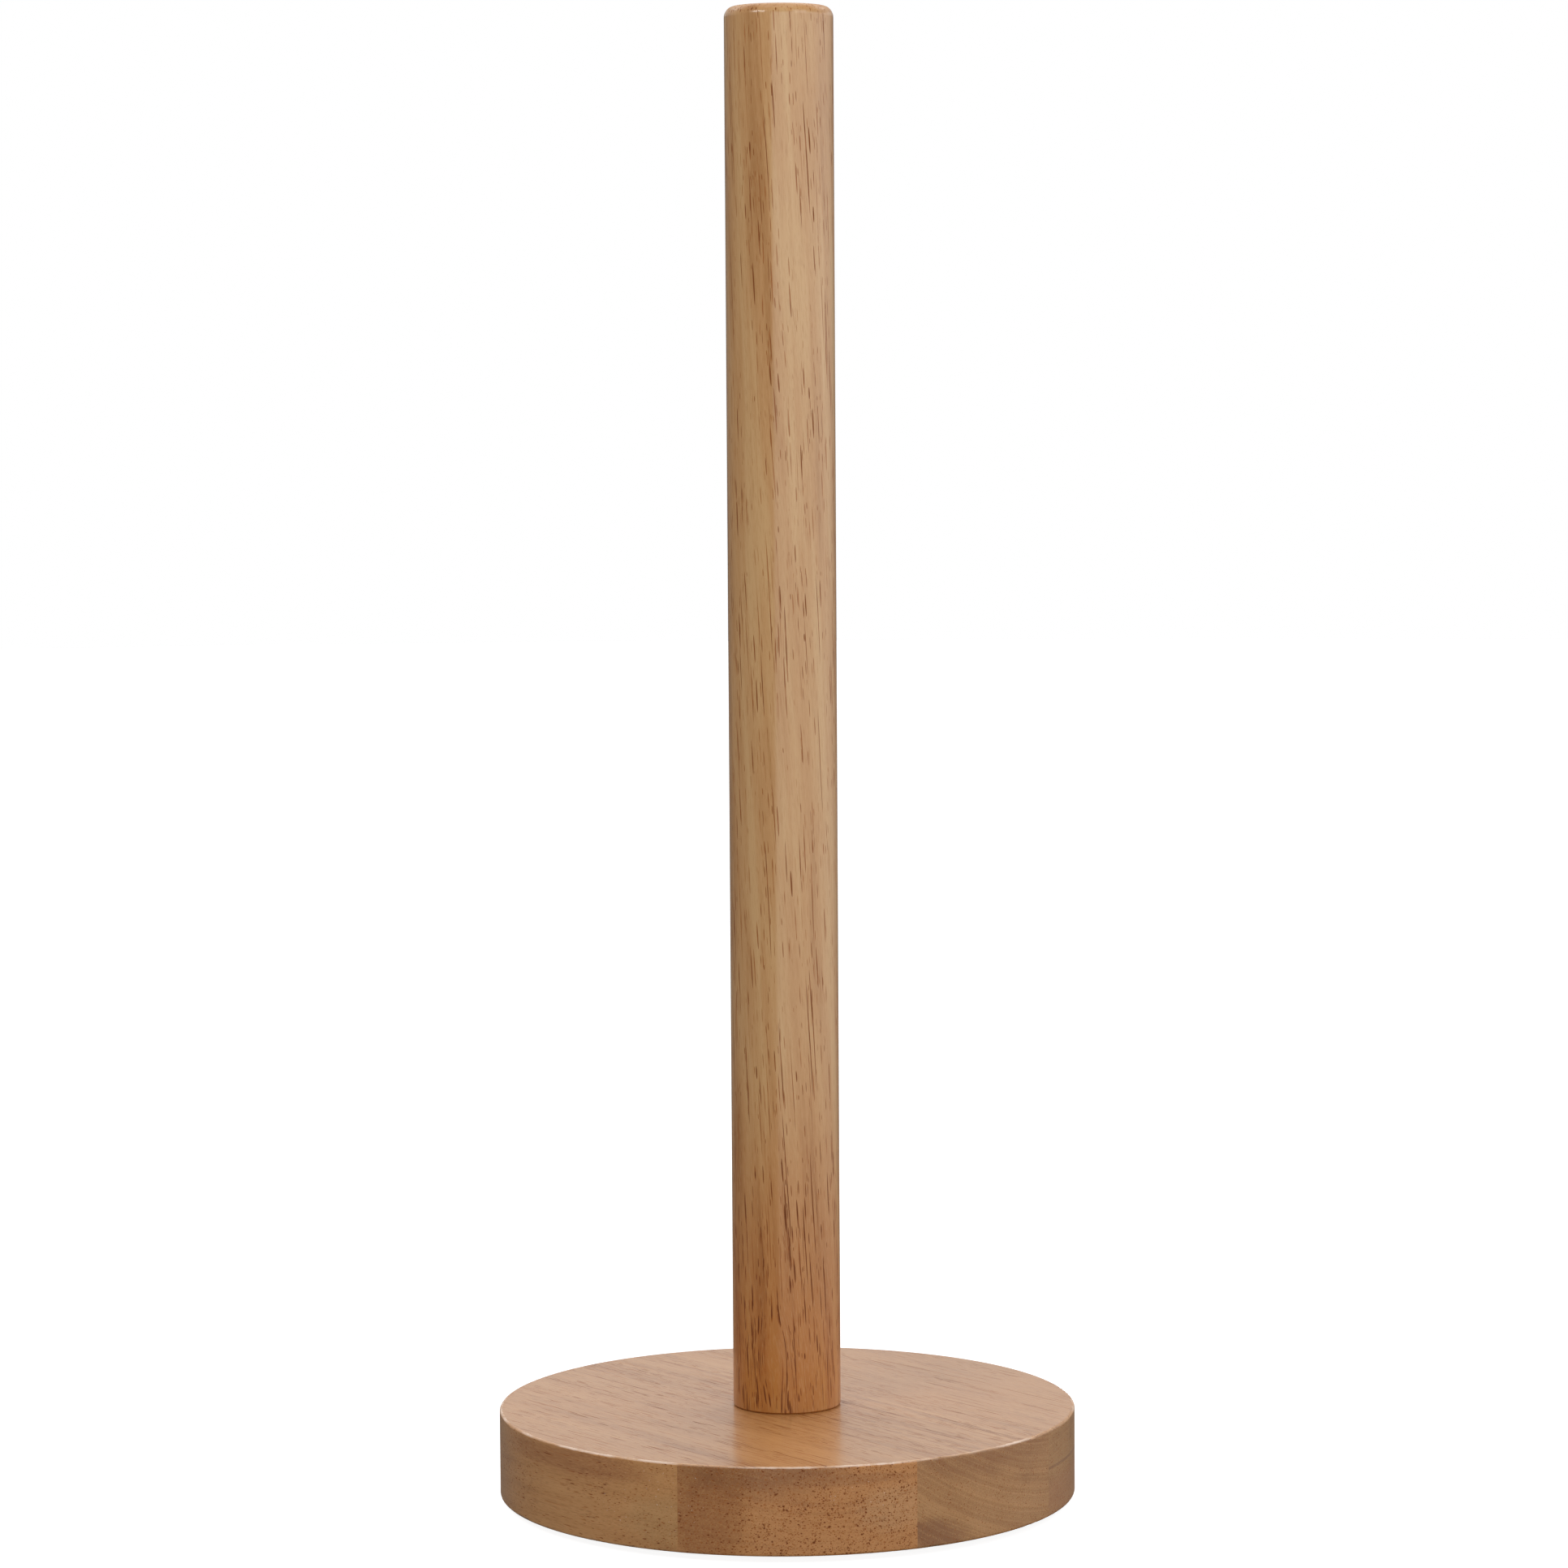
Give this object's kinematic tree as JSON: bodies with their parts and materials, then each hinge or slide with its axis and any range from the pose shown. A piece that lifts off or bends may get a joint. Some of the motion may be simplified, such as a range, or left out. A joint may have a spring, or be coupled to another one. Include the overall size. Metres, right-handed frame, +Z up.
{
  "type": "paper towel holder",
  "caption": "Free-standing wooden paper towel holder: a heavy round base made of glued staves and a straight turned post that the roll drops over.",
  "frame": {"origin": "on the surface that the holder stands on, under the post's axis: the bottom centre of the whole object", "axes": "+Z up along the post, -Y the front, +X to the right seen from the front"},
  "size_m": [0.134, 0.134, 0.3445],
  "materials": {
    "base_wood": "rubberwood under clear satin lacquer, staves of slightly different tone",
    "post_wood": "rubberwood turned and sanded, clear satin lacquer",
    "screw_steel": "zinc-plated steel",
    "zinc": "die-cast zinc alloy, dull",
    "pad_rubber": "matt"
  },
  "bodies": {
    "root": {"base_stave_1": "base_wood", "base_stave_2": "base_wood", "base_stave_3": "base_wood", "base_stave_4": "base_wood", "post": "post_wood", "post_insert": "zinc", "post_screw": "screw_steel", "post_screw_washer": "screw_steel", "foot_pad_front_right": "pad_rubber", "foot_pad_rear_right": "pad_rubber", "foot_pad_rear_left": "pad_rubber", "foot_pad_front_left": "pad_rubber"}
  },
  "joints": []
}
